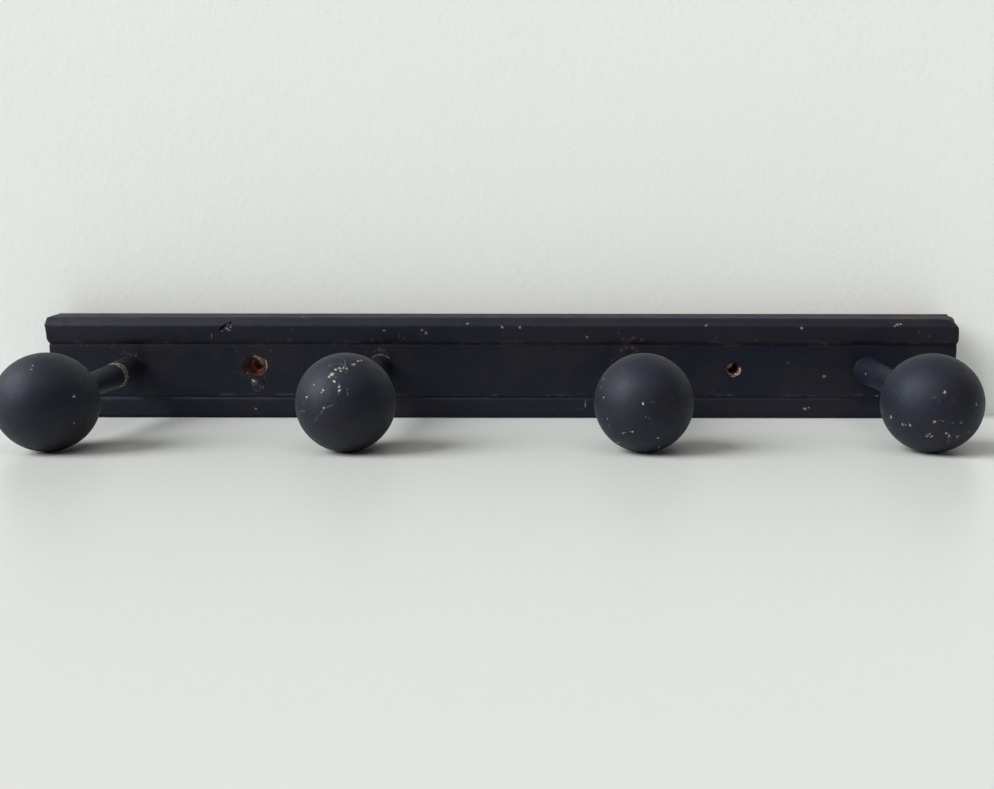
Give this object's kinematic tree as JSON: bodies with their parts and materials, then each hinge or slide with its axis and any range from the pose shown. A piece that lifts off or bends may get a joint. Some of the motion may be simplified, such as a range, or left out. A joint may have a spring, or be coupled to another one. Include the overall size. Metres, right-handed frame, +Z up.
{
  "type": "wall coat rack",
  "caption": "Wall coat rack: a moulded wooden board with a flat field between two mouldings, carrying turned ball pegs, painted matt black.",
  "frame": {"origin": "on the flat back of the board, at the middle of its length and level with the row of pegs", "axes": "+X along the board to the right as seen from the room, +Y into the wall, +Z up; the pegs point to -Y"},
  "size_m": [0.55, 0.1546, 0.0621],
  "materials": {
    "board_paint": "worn matt black paint on wood",
    "peg_paint": "worn matt black paint on turned wood",
    "bare_wood": "bare dry hardwood"
  },
  "bodies": {
    "root": {"backboard": "board_paint", "ball_peg_1": "peg_paint", "ball_peg_2": "peg_paint", "ball_peg_3": "peg_paint", "ball_peg_4": "peg_paint", "peg_wedge_1": "bare_wood", "peg_wedge_2": "bare_wood", "peg_wedge_3": "bare_wood", "peg_wedge_4": "bare_wood", "filler_plug": "board_paint"}
  },
  "joints": []
}
